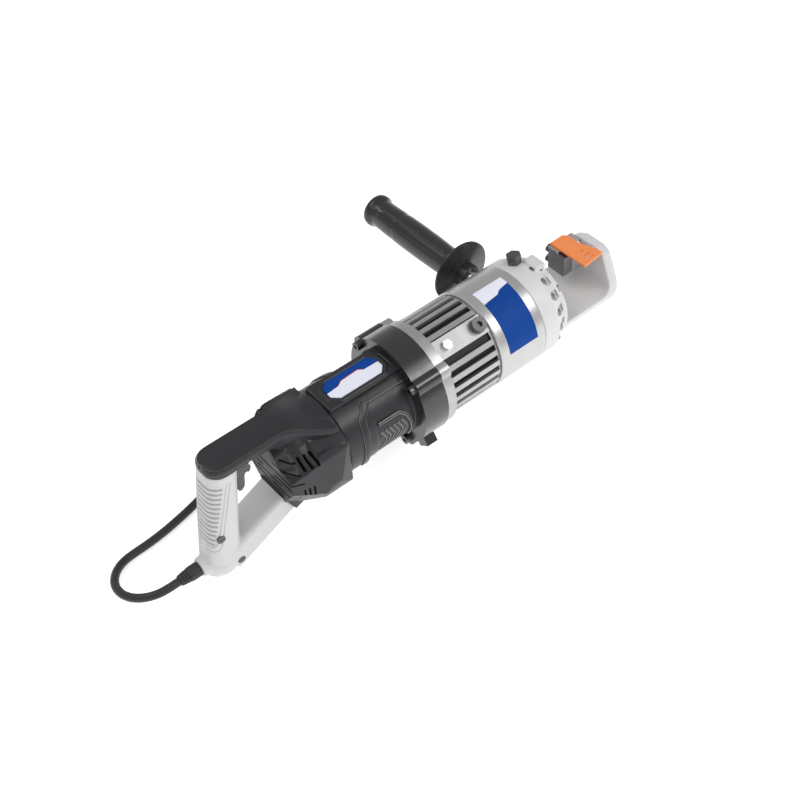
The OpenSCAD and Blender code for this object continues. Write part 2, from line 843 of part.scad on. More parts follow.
module cord_tail() {
    color([0.07, 0.07, 0.07]) at_axis() sweep(tail_route, cord_d / 2);
}

module plug_body() {
    color([0.09, 0.09, 0.09]) at_axis() union() {
        rod_x(-120, -92, plug_r, plug_y, plug_z);
        cone_x(-92, -86, plug_r, 11, plug_y, plug_z);
        cone_x(-86, -73, 11, 5.5, plug_y, plug_z);
    }
}

module plug_pins() {
    color([0.8, 0.8, 0.8]) at_axis()
        for (side = [-1, 1])
            union() {
                rod_x(-137, -120, 2.4, plug_y + 9.5 * side, plug_z);
                translate([-137, plug_y + 9.5 * side, plug_z]) sphere(2.4);
            }
}

motor_housing();
rear_cover();
handle_half_left();
handle_half_right();
handle_screws();
trigger();
trigger_pin();
power_switch();
cord_boot();
cord_lead();
cord_coil();
cord_tail();
plug_body();
plug_pins();
brush_holders();
carbon_brushes();
stator_core();
field_coils();
armature_shaft();
armature_core();
armature_windings();
commutator();
cooling_fan();
drive_pinion();
rear_bearing();
front_bearing();
gear_case();
case_screws();
drive_gear();
eccentric_shaft();
eccentric_bearing();
shaft_bearing();
bearing_plate();
pump_block();
pump_plunger();
pump_case();
oil_bladder();
oil_plug();
plug_washer();
vent_bolt();
cylinder_body();
cutter_head();
head_bolts();
piston();
piston_seal();
return_spring();
guide_bush();
rod_wiper();
blade_holder();
moving_blade();
fixed_blade();
blade_block();
blade_screws();
moving_blade_screw();
side_screws();
guard_plate();
release_valve();
handle_stud();
side_handle();
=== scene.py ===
import bpy
import bmesh
import json
import math
from mathutils import Matrix, Vector


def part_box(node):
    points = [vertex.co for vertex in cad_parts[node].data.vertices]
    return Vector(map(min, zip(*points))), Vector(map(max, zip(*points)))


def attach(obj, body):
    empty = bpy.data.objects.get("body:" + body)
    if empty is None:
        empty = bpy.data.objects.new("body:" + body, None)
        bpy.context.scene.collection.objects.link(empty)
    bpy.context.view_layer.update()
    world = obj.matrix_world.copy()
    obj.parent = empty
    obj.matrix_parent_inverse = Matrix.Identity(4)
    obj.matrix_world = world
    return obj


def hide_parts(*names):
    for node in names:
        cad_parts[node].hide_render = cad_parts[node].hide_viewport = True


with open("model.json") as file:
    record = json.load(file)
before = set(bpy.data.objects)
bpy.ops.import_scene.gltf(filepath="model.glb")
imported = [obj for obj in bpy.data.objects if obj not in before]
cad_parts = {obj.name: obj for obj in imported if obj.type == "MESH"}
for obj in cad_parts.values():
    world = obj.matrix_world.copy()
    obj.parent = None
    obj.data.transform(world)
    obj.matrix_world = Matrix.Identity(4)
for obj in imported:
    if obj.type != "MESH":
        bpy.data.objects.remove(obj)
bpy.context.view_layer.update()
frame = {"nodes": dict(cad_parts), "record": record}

RECORD = frame["record"]
SLOT_OF = {s["node"]: s["material_slot"] for s in RECORD["subparts"]}

# ---- The tool's own frame ------------------------------------------------------------------------
# Shapes below are in millimetres from the tool's axis: x along it from the cylinder's rear face,
# y to the left, z up. at() puts a point into the frame of the CAD, in metres.
BODY_LOW, BODY_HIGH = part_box("cylinder_body")
ORIGIN = Vector((BODY_LOW[0], (BODY_LOW[1] + BODY_HIGH[1]) / 2, (BODY_LOW[2] + BODY_HIGH[2]) / 2))


def at(x, y, z):
    return ORIGIN + Vector((x, y, z)) / 1000


def lerp(a, b, t):
    return a + (b - a) * t


def smooth(edge0, edge1, v):
    t = min(max((v - edge0) / (edge1 - edge0), 0.0), 1.0)
    return t * t * (3 - 2 * t)


def band(low, high, soft, v):
    """1 between low and high, 0 outside, with soft edges."""
    return smooth(low - soft, low + soft, v) * (1 - smooth(high - soft, high + soft, v))


# ---- Camera --------------------------------------------------------------------------------------
CAM_AT = at(-565.0, -644.9, 843.8)
CAM_AZIMUTH, CAM_ELEVATION, CAM_ROLL = -36.717, 47.092, -4.15
CAM_LENS = 57.12


def make_camera():
    a, e, r = (math.radians(v) for v in (CAM_AZIMUTH, CAM_ELEVATION, CAM_ROLL))
    back = Vector((math.sin(a) * math.cos(e), -math.cos(a) * math.cos(e), math.sin(e)))
    level = Vector((math.cos(a), math.sin(a), 0))
    right = level * math.cos(r) + back.cross(level) * math.sin(r)
    up = back.cross(right)
    data = bpy.data.cameras.new("camera")
    data.lens = CAM_LENS
    data.sensor_width = 36
    cam = bpy.data.objects.new("camera", data)
    turn = Matrix((right, up, back)).transposed().to_4x4()
    cam.matrix_world = Matrix.Translation(CAM_AT) @ turn
    bpy.context.scene.collection.objects.link(cam)
    bpy.context.scene.camera = cam


make_camera()

# ---- Materials -----------------------------------------------------------------------------------


class Nodes:
    """A short way of writing a material's nodes."""

    def __init__(self, name):
        self.mat = bpy.data.materials.new(name)
        self.mat.use_nodes = True
        self.tree = self.mat.node_tree
        self.shader = self.tree.nodes["Principled BSDF"]
        self.place = self.tree.nodes.new("ShaderNodeTexCoord").outputs["Object"]

    def add(self, kind, inputs=None, **settings):
        node = self.tree.nodes.new("ShaderNode" + kind)
        for key, value in settings.items():
            setattr(node, key, value)
        for key, value in (inputs or {}).items():
            if isinstance(value, bpy.types.NodeSocket):
                self.tree.links.new(value, node.inputs[key])
            else:
                node.inputs[key].default_value = value
        return node

    def stretch(self, scale):
        return self.add("Mapping", {"Vector": self.place, "Scale": scale}).outputs["Vector"]

    def noise(self, scale, detail=3, vector=None, rough=0.5):
        node = self.add("TexNoise", {"Vector": vector or self.place, "Scale": scale, "Detail": detail,
                                     "Roughness": rough})
        return node.outputs["Fac"]

    def ramp(self, fac, *stops):
        """A value ramp from (position, value) stops."""
        node = self.add("ValToRGB", {"Fac": fac})
        ramp = node.color_ramp
        while len(ramp.elements) < len(stops):
            ramp.elements.new(0.5)
        for element, (pos, value) in zip(ramp.elements, stops):
            element.position = pos
            element.color = (value, value, value, 1) if isinstance(value, (int, float)) else (*value, 1)
        return node.outputs["Color"]

    def mix(self, fac, a, b):
        """A colour between a and b; 6 and 7 are the Mix node's colour inputs."""
        return self.add("Mix", {0: fac, 6: a, 7: b}, data_type="RGBA").outputs[2]

    def bump(self, height, distance, strength=1.0, normal=None):
        inputs = {"Height": height, "Distance": distance, "Strength": strength}
        if normal:
            inputs["Normal"] = normal
        return self.add("Bump", inputs).outputs["Normal"]

    def link(self, socket, name):
        self.tree.links.new(socket, self.shader.inputs[name])

    def uniform(self, **values):
        for key, value in values.items():
            self.shader.inputs[key.replace("_", " ")].default_value = value


def shade(rgb, factor):
    return tuple(min(c * factor, 1) for c in rgb)


def plastic(name, rgb, rough, grain=1400, depth=0.00004, wear=0.08, coat=0.0, shine=0.5):
    """Moulded plastic; where an object has the per-vertex attribute for it, painted shade darkens its
    grooves.
    """
    n = Nodes(name)
    patches = n.noise(28, 4)
    colour = n.ramp(patches, (0.3, shade(rgb, 1 - wear)), (0.7, shade(rgb, 1 + wear)))
    groove_shade = n.add("Attribute", attribute_name="groove_shade").outputs["Fac"]
    # Painted shade: the colour goes towards a third of itself as the attribute rises
    n.link(n.mix(groove_shade, colour, (*shade(rgb, 0.3), 1)), "Base Color")
    n.link(n.ramp(n.noise(60, 3), (0.3, rough - 0.05), (0.7, rough + 0.06)), "Roughness")
    n.link(n.bump(n.noise(grain, 2), depth, 0.6), "Normal")
    n.uniform(Coat_Weight=coat, Coat_Roughness=0.2, Specular_IOR_Level=shine)
    return n.mat


def metal(name, rgb, rough=0.3, metallic=1.0, wear=0.1):
    """Machined metal with slight patches and a fine grain."""
    n = Nodes(name)
    patches = n.noise(35, 5)
    n.link(n.ramp(patches, (0.3, shade(rgb, 1 - wear)), (0.7, shade(rgb, 1 + wear))), "Base Color")
    n.link(n.ramp(n.noise(110, 4), (0.3, rough - 0.06), (0.7, rough + 0.08)), "Roughness")
    n.link(n.bump(n.noise(900, 3), 0.00003, 0.7), "Normal")
    n.uniform(Metallic=metallic)
    return n.mat


def turned(name, rgb):
    """Metal with fine turning marks round the x axis."""
    n = Nodes(name)
    rings = n.noise(1, 4, n.stretch((2600, 14, 14)), 0.7)
    n.link(n.ramp(rings, (0.3, shade(rgb, 0.94)), (0.7, shade(rgb, 1.06))), "Base Color")
    streaks = n.noise(1, 3, n.stretch((900, 20, 20)))
    n.link(n.ramp(streaks, (0.3, 0.29), (0.7, 0.41)), "Roughness")
    n.link(n.bump(rings, 0.00003, 0.5), "Normal")
    n.uniform(Metallic=0.85)
    return n.mat


def finned(name, rgb, floor_r, top_r):
    """A casting whose fins are bright on top, with painted shade darkening them towards their roots."""
    n = Nodes(name)
    axis = (0, ORIGIN.y, ORIGIN.z)
    spot = n.add("VectorMath", {0: n.place, 1: axis}, operation="SUBTRACT").outputs["Vector"]
    flat = n.add("VectorMath", {0: spot, 1: (0, 1, 1)}, operation="MULTIPLY").outputs["Vector"]
    radius = n.add("VectorMath", {0: flat}, operation="LENGTH").outputs["Value"]
    limits = {"Value": radius, "From Min": floor_r / 1000, "From Max": top_r / 1000}
    height = n.add("MapRange", limits).outputs[0]
    fin_colour = n.ramp(n.noise(60, 5), (0.3, shade(rgb, 0.9)), (0.7, shade(rgb, 1.08)))
    # Painted shade: the colour falls to a tenth of itself from the fins' tops down to their roots
    n.link(n.mix(height, (*shade(rgb, 0.1), 1), fin_colour), "Base Color")
    n.link(n.ramp(height, (0.0, 0.6), (1.0, 0.42)), "Roughness")
    n.link(n.bump(n.noise(700, 3), 0.00003, 0.6), "Normal")
    n.uniform(Metallic=0.9)
    return n.mat


def cast(name, rgb, grain=420, depth=0.00012):
    """A blasted or painted casting: fine orange peel with a little dirt."""
    n = Nodes(name)
    cloud = n.ramp(n.noise(22, 5), (0.32, shade(rgb, 0.95)), (0.68, shade(rgb, 1.03)))
    n.link(cloud, "Base Color")
    n.link(n.ramp(n.noise(70, 3), (0.3, 0.37), (0.7, 0.49)), "Roughness")
    fine = n.bump(n.noise(grain * 4, 2), depth * 0.3, 0.5)
    n.link(n.bump(n.noise(grain, 3), depth, 0.5, fine), "Normal")
    return n.mat


MATS = {
    "black_plastic": plastic("black_plastic", (0.019, 0.02, 0.023), 0.36, shine=0.4),
    "grey_plastic": plastic("grey_plastic", (0.6, 0.605, 0.61), 0.5, 1100, 0.00005, 0.02),
    "dark_plastic": plastic("dark_plastic", (0.07, 0.07, 0.074), 0.45),
    "black_plastic_gloss": plastic("black_plastic_gloss", (0.018, 0.018, 0.019), 0.28, wear=0.03),
    "black_rubber": plastic("black_rubber", (0.018, 0.018, 0.019), 0.5, 900, 0.00004),
    "dark_steel": metal("dark_steel", (0.13, 0.13, 0.135), 0.32, 0.9),
    "bright_steel": metal("bright_steel", (0.62, 0.62, 0.63), 0.25),
    "tool_steel": metal("tool_steel", (0.24, 0.24, 0.25), 0.36),
    "lamination_steel": metal("lamination_steel", (0.32, 0.33, 0.35), 0.4, wear=0.2),
    "nickel": metal("nickel", (0.72, 0.71, 0.69), 0.2),
    "brass": metal("brass", (0.75, 0.55, 0.26), 0.3),
    "copper": metal("copper", (0.75, 0.36, 0.16), 0.32, wear=0.2),
    "carbon": plastic("carbon", (0.025, 0.025, 0.027), 0.7),
    "cast_alloy": finned("cast_alloy", (0.46, 0.46, 0.46), 45.2, 48.2),
    "turned_alloy": turned("turned_alloy", (0.52, 0.52, 0.515)),
    "black_paint": plastic("black_paint", (0.014, 0.014, 0.016), 0.24, 500, 0.00002, coat=0.5),
    "pale_paint": cast("pale_paint", (0.63, 0.63, 0.635)),
    "orange_paint": cast("orange_paint", (0.9, 0.27, 0.075), 600, 0.00003),
}
# Painted highlight: a lighter grey for the faces of bevels, so that edges look as if they catch the light
EDGE_SHINE = plastic("painted_edge_highlight", (0.24, 0.245, 0.25), 0.35, 900, 0.00002)
SCREW_STEEL = metal("screw_steel", (0.3, 0.3, 0.305), 0.3)


def printed(name, rgb, wear):
    """A flat printed film."""
    return plastic(name, rgb, 0.5, 700, 0.000004, wear, shine=0.12)


LABEL_BLUE = printed("label_blue", (0.003, 0.052, 0.28), 0.02)
LABEL_PALE = printed("label_pale", (0.8, 0.81, 0.92), 0.01)
LABEL_RED = printed("label_edge", (0.6, 0.06, 0.05), 0.03)

# ---- Mesh helpers --------------------------------------------------------------------------------


def new_object(name, mesh):
    obj = bpy.data.objects.new(name, mesh)
    bpy.context.scene.collection.objects.link(obj)
    return obj


def make_mesh(name, points, faces):
    """A mesh from tool-frame millimetres, with its faces turned outward."""
    mesh = bpy.data.meshes.new(name)
    mesh.from_pydata([at(*p) for p in points], [], faces)
    bm = bmesh.new()
    bm.from_mesh(mesh)
    bmesh.ops.remove_doubles(bm, verts=bm.verts, dist=1e-6)
    bmesh.ops.recalc_face_normals(bm, faces=bm.faces)
    bm.to_mesh(mesh)
    bm.free()
    return mesh


def loft(rings, closed=False):
    """Points and faces of a skin over rings that all have the same number of points."""
    count = len(rings[0])
    points = [p for ring in rings for p in ring]
    faces = []
    spans = len(rings) if closed else len(rings) - 1
    for i in range(spans):
        a, b = i * count, (i + 1) % len(rings) * count
        for k in range(count):
            m = (k + 1) % count
            faces.append((a + k, a + m, b + m, b + k))
    if not closed:
        faces.append(tuple(range(count)))
        faces.append(tuple(range(len(points) - count, len(points))))
    return points, faces


def circle_x(x, r, steps):
    return [(x, r * math.cos(2 * math.pi * k / steps), r * math.sin(2 * math.pi * k / steps))
            for k in range(steps)]


def lathe_x(profile, steps):
    """A turned shape about the x axis, from (x, radius) points."""
    return loft([circle_x(x, max(r, 0.01), steps) for x, r in profile])


def lathe_y(profile, x, z, steps, wave=None):
    """A turned shape about an axis along y; wave(y, angle) is added to the radius."""
    rings = []
    for y, r in profile:
        ring = []
        for k in range(steps):
            a = 2 * math.pi * k / steps
            rr = max(r, 0.01) + (wave(y, a) if wave else 0)
            ring.append((x + rr * math.cos(a), y, z + rr * math.sin(a)))
        rings.append(ring)
    return loft(rings)


def prism_y(outline, y0, y1):
    return loft([[(x, y, z) for x, z in outline] for y in (y0, y1)])


def prism_z(outline, z0, z1):
    return loft([[(x, y, z) for x, y in outline] for z in (z0, z1)])


def box_shape(low, high):
    (x0, y0, z0), (x1, y1, z1) = low, high
    return prism_z([(x0, y0), (x1, y0), (x1, y1), (x0, y1)], z0, z1)


def turn_x(shape, angle):
    """Turns a shape about the x axis; angle in degrees from +y towards +z."""
    points, faces = shape
    c, s = math.cos(math.radians(angle)), math.sin(math.radians(angle))
    return [(x, y * c - z * s, y * s + z * c) for x, y, z in points], faces


def shift(shape, y, z):
    points, faces = shape
    return [(px, py + y, pz + z) for px, py, pz in points], faces


def apply_all(obj):
    """Bakes an object's modifiers into its mesh."""
    graph = bpy.context.evaluated_depsgraph_get()
    mesh = bpy.data.meshes.new_from_object(obj.evaluated_get(graph))
    obj.modifiers.clear()
    obj.data = mesh


def combine(name, base, add=(), remove=()):
    """One object from a base shape with others joined to it and cut from it."""
    obj = new_object(name, make_mesh(name, *base))
    tools = []
    for kind, shapes in (("UNION", add), ("DIFFERENCE", remove)):
        for shape in shapes:
            tool = new_object("tool", make_mesh("tool", *shape))
            tools.append(tool)
            mod = obj.modifiers.new(kind, "BOOLEAN")
            mod.operation = kind
            mod.object = tool
            mod.solver = "EXACT"
    apply_all(obj)
    for tool in tools:
        bpy.data.objects.remove(tool)
    return obj


def soften(obj, voxel, rounds):
    """Melts joined shapes into one skin with rounded inner and outer corners."""
    mod = obj.modifiers.new("remesh", "REMESH")
    mod.mode = "VOXEL"
    mod.voxel_size = voxel / 1000
    mod = obj.modifiers.new("smooth", "SMOOTH")
    mod.factor = 0.5
    mod.iterations = rounds
    apply_all(obj)


def joined(shapes):
    """Several shapes as one."""
    points, faces = [], []
    for more, quads in shapes:
        faces += [tuple(i + len(points) for i in face) for face in quads]
        points += more
    return points, faces


def boolean(obj, tool, operation, overlapping=False):
    """Joins a tool object to another or cuts it out; the tool is used up."""
    mod = obj.modifiers.new("boolean", "BOOLEAN")
    mod.operation = operation
    mod.object = tool
    mod.solver = "EXACT"
    mod.use_self = overlapping
    apply_all(obj)
    bpy.data.objects.remove(tool)


def carve(obj, shapes, overlapping=False):
    """Cuts shapes out of an object in one go; overlapping says whether they meet each other."""
    tool = new_object("tool", make_mesh("tool", *joined(shapes)))
    boolean(obj, tool, "DIFFERENCE", overlapping)


def finish_piece(obj, slot, body="frame", stands_for=(), material=None, edge=0.0, sharp=35,
                 segments=2, shine=False):
    """Gives a piece its material, soft edges (edge in mm, with a painted highlight on the bevels if shine),
    body and slot.
    """
    mesh = obj.data
    mesh.materials.clear()
    mesh.materials.append(material or MATS[slot])
    mesh.shade_smooth()
    mesh.set_sharp_from_angle(angle=math.radians(sharp))
    if edge:
        mod = bevel(obj, edge, segments, sharp)
        # The bevel's faces get the painted highlight
        if shine:
            mesh.materials.append(EDGE_SHINE)
            mod.material = 1
    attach(obj, body)
    if stands_for:
        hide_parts(*stands_for)
    return obj


def bevel(obj, width, segments, angle):
    mod = obj.modifiers.new("bevel", "BEVEL")
    mod.width = width / 1000
    mod.segments = segments
    mod.limit_method = "ANGLE"
    mod.angle_limit = math.radians(angle)
    mod.harden_normals = True
    return mod


def set_groove_shade(obj, values):
    """Stores how much painted shade darkens each vertex, for the plastics to show."""
    data = obj.data.attributes.new("groove_shade", "FLOAT", "POINT").data
    for item, value in zip(data, values):
        item.value = value


def skin_x(x0, x1, radius, steps_x, steps_a, inner):
    """A tube along x whose outer radius is a function of x and of the angle in degrees."""
    rings = []
    for i in range(steps_x + 1):
        x = lerp(x0, x1, i / steps_x)
        ring = []
        for k in range(steps_a):
            a = 360 * k / steps_a
            r = radius(x, a)
            ring.append((x, r * math.cos(math.radians(a)), r * math.sin(math.radians(a))))
        rings.append(ring)
    rings.append(circle_x(x1, inner, steps_a))
    rings.append(circle_x(x0, inner, steps_a))
    return loft(rings, closed=True)


def rounded_section(half_w, deep, r):
    """A rectangle with round corners in (y, z), counted from the bottom right."""
    out = []
    steps = 6
    for sy, sz, start in ((1, -1, -90), (1, 1, 0), (-1, 1, 90), (-1, -1, 180)):
        for k in range(steps + 1):
            a = math.radians(start + 90 * k / steps)
            out.append((sy * half_w - sy * r + r * math.cos(a), sz * deep - sz * r + r * math.sin(a)))
    return out


# ---- Cord ----------------------------------------------------------------------------------------
AXIS_HEIGHT = 92
CORD_D = 8
CORD_Z = CORD_D / 2 - AXIS_HEIGHT  # the height of a cord that lies on the floor
BOOT_END, BOOT_Z = -339, -70
PLUG_Y, PLUG_Z = 50, -73
LEAD = [
    (BOOT_END, 0, BOOT_Z), (-345, 0, -70.1), (-350, 0.4, -70.6), (-360.2, 2, -71.1),
    (-369.4, 6.7, -72.4), (-376.7, 14, -74.4), (-381.4, 23.2, -76.7), (-383, 33.4, -79.3),
    (-381.4, 43.6, -81.9), (-376.7, 52.8, -84.2), (-369.4, 60.1, -86.2), (-360.2, 64.8, -87.5),
    (-350, 66.4, CORD_Z), (-335, 67, CORD_Z), (-318, 68.6, CORD_Z), (-298, 72, CORD_Z),
    (-276, 77, CORD_Z), (-253, 83.5, CORD_Z), (-230, 89.5, CORD_Z), (-205, 94, CORD_Z),
    (-180, 97, CORD_Z), (-155, 99, CORD_Z), (-130, 101, CORD_Z), (-105, 103, CORD_Z),
    (-80, 105.3, CORD_Z), (-55, 108, CORD_Z), (-30, 111, CORD_Z), (-5, 113.3, CORD_Z),
]
TAIL = [
    (12, 12.5, -82), (0, 15.5, -84.5), (-11, 20, -87), (-21, 26, CORD_Z), (-30, 33, CORD_Z),
    (-39, 39.5, CORD_Z), (-48, 45, -86), (-57, 48.8, -80.5), (-66, 50, -74.5), (-75, 50, -73)]
COIL_AT = (50, 62)
COIL_TURNS = 5.66
COIL_START = 119.7
COIL_INNER = 37


def coil_points():
    """Turns inward on the floor, a climb, and the rest outward on top of them."""
    out = []
    steps = int(COIL_TURNS * 16)
    for i in range(steps + 1):
        t = COIL_TURNS * i / steps
        if t < 2:
            r, z = COIL_INNER + CORD_D * (2 - t), 0
        elif t < 3:
            r, z = COIL_INNER, CORD_D * math.sqrt(1 - (3 - t) ** 2)
        else:
            r, z = COIL_INNER + CORD_D * (t - 3), CORD_D
        # The lead comes in from outside, and the tail leaves a little lower
        r += 7.6 * (1 - smooth(0, 0.3, t))
        z = lerp(z, CORD_D * 0.95, smooth(5.3, COIL_TURNS, t)) if t > 5 else z
        a = math.radians(COIL_START - 360 * t)
        out.append((COIL_AT[0] + r * math.cos(a), COIL_AT[1] + r * math.sin(a), CORD_Z + z))
    return out


def make_cord():
    points = LEAD + coil_points() + TAIL
    data = bpy.data.curves.new("power_cord", "CURVE")
    data.dimensions = "3D"
    data.resolution_u = 3
    data.bevel_depth = CORD_D / 2000
    data.bevel_resolution = 5
    data.use_fill_caps = True
    spline = data.splines.new("BEZIER")
    spline.bezier_points.add(len(points) - 1)
    for knot, p in zip(spline.bezier_points, points):
        knot.co = at(*p)
        knot.handle_left_type = knot.handle_right_type = "AUTO"
    obj = new_object("power_cord", data)
    data.materials.append(MATS["black_rubber"])
    length = sum((at(*a) - at(*b)).length for a, b in zip(points, points[1:]))
    return obj, length


cord, cord_length = make_cord()


def make_plug():
    """A moulded plug with a grip ring and a grooved neck."""
    profile = [(-120, 0), (-120, 17.6), (-119, 18.8), (-112, 19), (-110, 18), (-108, 18), (-106, 19),
               (-96, 18.6), (-91, 15.5), (-87, 11.2), (-86, 10.2)]
    for i in range(5):
        x = -85 + 2.4 * i
        r = 9.8 - 0.85 * i
        profile += [(x, r), (x + 1.1, r), (x + 1.2, r - 1.1), (x + 2.2, r - 1.1)]
    profile += [(-73, 5.4), (-73, 0)]
    obj = new_object("plug", make_mesh("plug", *shift(lathe_x(profile, 64), PLUG_Y, PLUG_Z)))
    return finish_piece(obj, "black_rubber", stands_for=("plug_body",), sharp=40)


plug = make_plug()


def make_boot():
    """The cord's sleeve: smooth, with a few grooves towards its thin end."""
    profile = [(BOOT_END, 0), (BOOT_END, 4.8), (-338.4, 5.3), (-337, 5.4)]
    for i in range(3):
        x, widen = -336.4 + 2.6 * i, 0.3 * i
        profile += [(x, 5.7 + widen), (x + 0.1, 4.9 + widen), (x + 1, 4.9 + widen), (x + 1.1, 5.8 + widen)]
    profile += [(-328, 6.8), (-327, 7), (-309, 7), (-309, 0)]
    obj = new_object("boot", make_mesh("boot", *shift(lathe_x(profile, 48), 0, BOOT_Z)))
    finish_piece(obj, "black_rubber", stands_for=("cord_boot",), sharp=40)


make_boot()
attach(cord, "frame")
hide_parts("cord_lead", "cord_coil", "cord_tail")

# ---- Motor housing -------------------------------------------------------------------------------
MOTOR_BACK, MOTOR_FRONT = -173, -97
SKIN_R = 42.8
ROOT_R = 42.3  # how deep a raised strip is rooted in the skin


def from_top(a):
    """Degrees from the top on either side, for an angle that runs from the left side over the top."""
    return abs(a - 90) if a <= 270 else abs(a - 450)


def segment_distance(px, py, ax, ay, bx, by):
    dx, dy = bx - ax, by - ay
    t = min(max(((px - ax) * dx + (py - ay) * dy) / (dx * dx + dy * dy), 0), 1)
    return math.hypot(px - ax - t * dx, py - ay - t * dy)


def polyline_distance(px, py, line):
    return min(segment_distance(px, py, *a, *b) for a, b in zip(line, line[1:]))


def inside(px, py, outline):
    hit = False
    for (ax, ay), (bx, by) in zip(outline, outline[1:] + outline[:1]):
        if (ay > py) != (by > py) and px < (bx - ax) * (py - ay) / (by - ay) + ax:
            hit = not hit
    return hit


def signed(px, py, outline):
    """Distance to an outline, positive inside it."""
    d = polyline_distance(px, py, outline + outline[:1])
    return d if inside(px, py, outline) else -d


# Side features, drawn on the unrolled skin: x and the arc in degrees below the top, per side
SIDE_PANEL = [(-138, 37), (-95, 37), (-95, 150), (-152, 150), (-151, 76), (-149.5, 63), (-146, 50)]
RIDGE = [(-141.5, 31), (-145.5, 42.5), (-151.6, 50.5), (-152.8, 64.5), (-154.2, 78), (-155.5, 100),
         (-155.5, 126)]
HOOK = [(-138, 67), (-115, 67), (-108.4, 75), (-104.6, 90), (-103, 106), (-103.5, 122)]
# The badge's outline on the top flat, in x and y
BADGE = [(-157, -12.6), (-110, -12.6), (-103.8, -5.8), (-103.8, 6.2), (-110, 12.6), (-157, 12.6),
         (-163.6, 6.4), (-163.6, -6)]


def motor_radius(x, a):
    """The housing's skin."""
    down = from_top(a)
    r = SKIN_R
    # The flat along the top, with a shoulder on each side
    if down < 60:
        flat = 43.6 / max(math.cos(math.radians(down)), 0.05)
        y_flat = flat * math.sin(math.radians(down))
        r = lerp(flat, r, smooth(17.8, 20, y_flat))
    # A ledge, and the panel below it
    r -= 0.5 * smooth(29.5, 30.3, down) * smooth(-142, -141, x)
    panel = signed(x, down, SIDE_PANEL)
    r -= 1.2 * smooth(-0.5, 0.5, panel)
    # The badge's frame on the top flat
    if down < 32:
        badge = signed(x, r * math.sin(math.radians(a - 90)), BADGE)
        r += 0.75 * band(-3.4, -0.5, 0.3, badge) - 0.8 * smooth(-0.3, 0.2, badge)
        r -= 0.5 * band(-5.2, -4.2, 0.3, badge)
    # The rim in front of the gear case
    r += 1.4 * smooth(-100.6, -99.8, x) * smooth(30, 45, down)
    r -= 0.9 * (1 - smooth(MOTOR_BACK, MOTOR_BACK + 1.2, x))
    return r


def ribbon(name, line, width, height, side):
    """A raised strip along a line of (x, degrees below the top) points on one side of the housing."""
    path = []
    for (ax, aa), (bx, ba) in zip(line, line[1:]):
        steps = max(2, int(math.hypot(bx - ax, (ba - aa) * 0.75) / 1.2))
        path += [(lerp(ax, bx, i / steps), lerp(aa, ba, i / steps)) for i in range(steps)]
    path.append(line[-1])
    # Rounds the line's corners
    for _ in range(3):
        path = [path[0]] + [tuple((p[k] + 2 * q[k] + r[k]) / 4 for k in (0, 1))
                            for p, q, r in zip(path, path[1:], path[2:])] + [path[-1]]
    rings = []
    for i, (x, down) in enumerate(path):
        before, after = path[max(i - 1, 0)], path[min(i + 1, len(path) - 1)]
        tx, ta = after[0] - before[0], math.radians(after[1] - before[1]) * SKIN_R
        size = math.hypot(tx, ta)
        tx, ta = tx / size, ta / size
        base = motor_radius(x, 90 + down)
        low = min(base, ROOT_R)
        ring = []
        for across, up in ((-0.5, low - 0.6), (-0.5, base + height - 0.3), (-0.3, base + height),
                           (0.3, base + height), (0.5, base + height - 0.3), (0.5, low - 0.6)):
            w = across * width
            angle = math.radians(down) + tx * w / SKIN_R
            ring.append((x - ta * w, side * up * math.sin(angle), up * math.cos(angle)))
        rings.append(ring)
    obj = new_object(name, make_mesh(name, *loft(rings)))
    finish_piece(obj, "black_plastic", edge=0.22, sharp=25, shine=True)


def make_motor():
    shape = skin_x(MOTOR_BACK, MOTOR_FRONT, motor_radius, 130, 440, 39)
    obj = new_object("motor_shell", make_mesh("motor_shell", *shape))
    finish_piece(obj, "black_plastic", stands_for=("motor_housing",), sharp=60)
    for side, word in ((-1, "right"), (1, "left")):
        ribbon(f"ridge_{word}", RIDGE, 6.5, 1.3, side)
        ribbon(f"hook_{word}", HOOK, 3.2, 1.9, side)
        ribbon(f"panel_line_{word}", [(-137, 36.4), (-98, 36.4)], 0.7, 0.35, side)
        for i in range(6):
            x = -137.5 + 4.7 * i
            line = [(x, 79), (x + 5.6, 94), (x - 1.5, 112)]
            ribbon(f"chevron_{word}_{i}", line, 1.5, 0.8, side)


make_motor()


def make_badge():
    """A plain two-colour plate in the frame on top of the motor."""
    top, low = 43.4, ROOT_R
    outer = [(x + (134 + x) * -0.03, y * 0.94) for x, y in BADGE]
    steps = [(-165, -0.4), (-149.7, 0.6), (-144, 4.1), (-125, 5), (-120, 1.4), (-100, 1)]

    def split(sign):
        side = [p for p in outer if (p[1] > 0) == (sign > 0)]
        side.sort()
        edge = [(max(min(x, -104.7), -162.7), y) for x, y in steps]
        return edge + side[::-1]

    for name, sign, mat in (("badge_blue", 1, LABEL_BLUE), ("badge_pale", -1, LABEL_PALE)):
        obj = new_object(name, make_mesh(name, *prism_z(split(sign), low, top)))
        finish_piece(obj, "black_plastic_gloss", material=mat, edge=0.15)
    line = []
    half = 0.35
    for (ax, ay), (bx, by) in zip(steps[1:-1], steps[2:-1]):
        strip = [(ax, ay - half), (bx, by - half), (bx, by + half), (ax, ay + half)]
        line.append(prism_z(strip, low, top + 0.04))
    obj = combine("badge_line", line[0], add=line[1:])
    finish_piece(obj, "black_plastic_gloss", material=LABEL_RED)


make_badge()

# ---- Rear cover and beam -------------------------------------------------------------------------


# Flat faces of the bulge on each side of the cover: the normal along x, sideways and up, and the offset
BULGE = [(0.08, 0.43, 0.9, 27.3), (0.0, 0.98, 0.14, 46.6), (0.0, 0.86, -0.51, 49.4),
         (-0.385, 0.923, 0.0, 121.8), (-0.62, 0.35, 0.7, 160.5), (0.36, 0.93, 0.0, -22.5),
         (-0.464, 0.72, -0.516, 137.0), (0.0, 0.35, -0.94, 44.0)]
BULGE_MOST = 49.5
COVER_SHOULDER, SHOULDER_R = -224, 38.5
COVER_REAR = -232


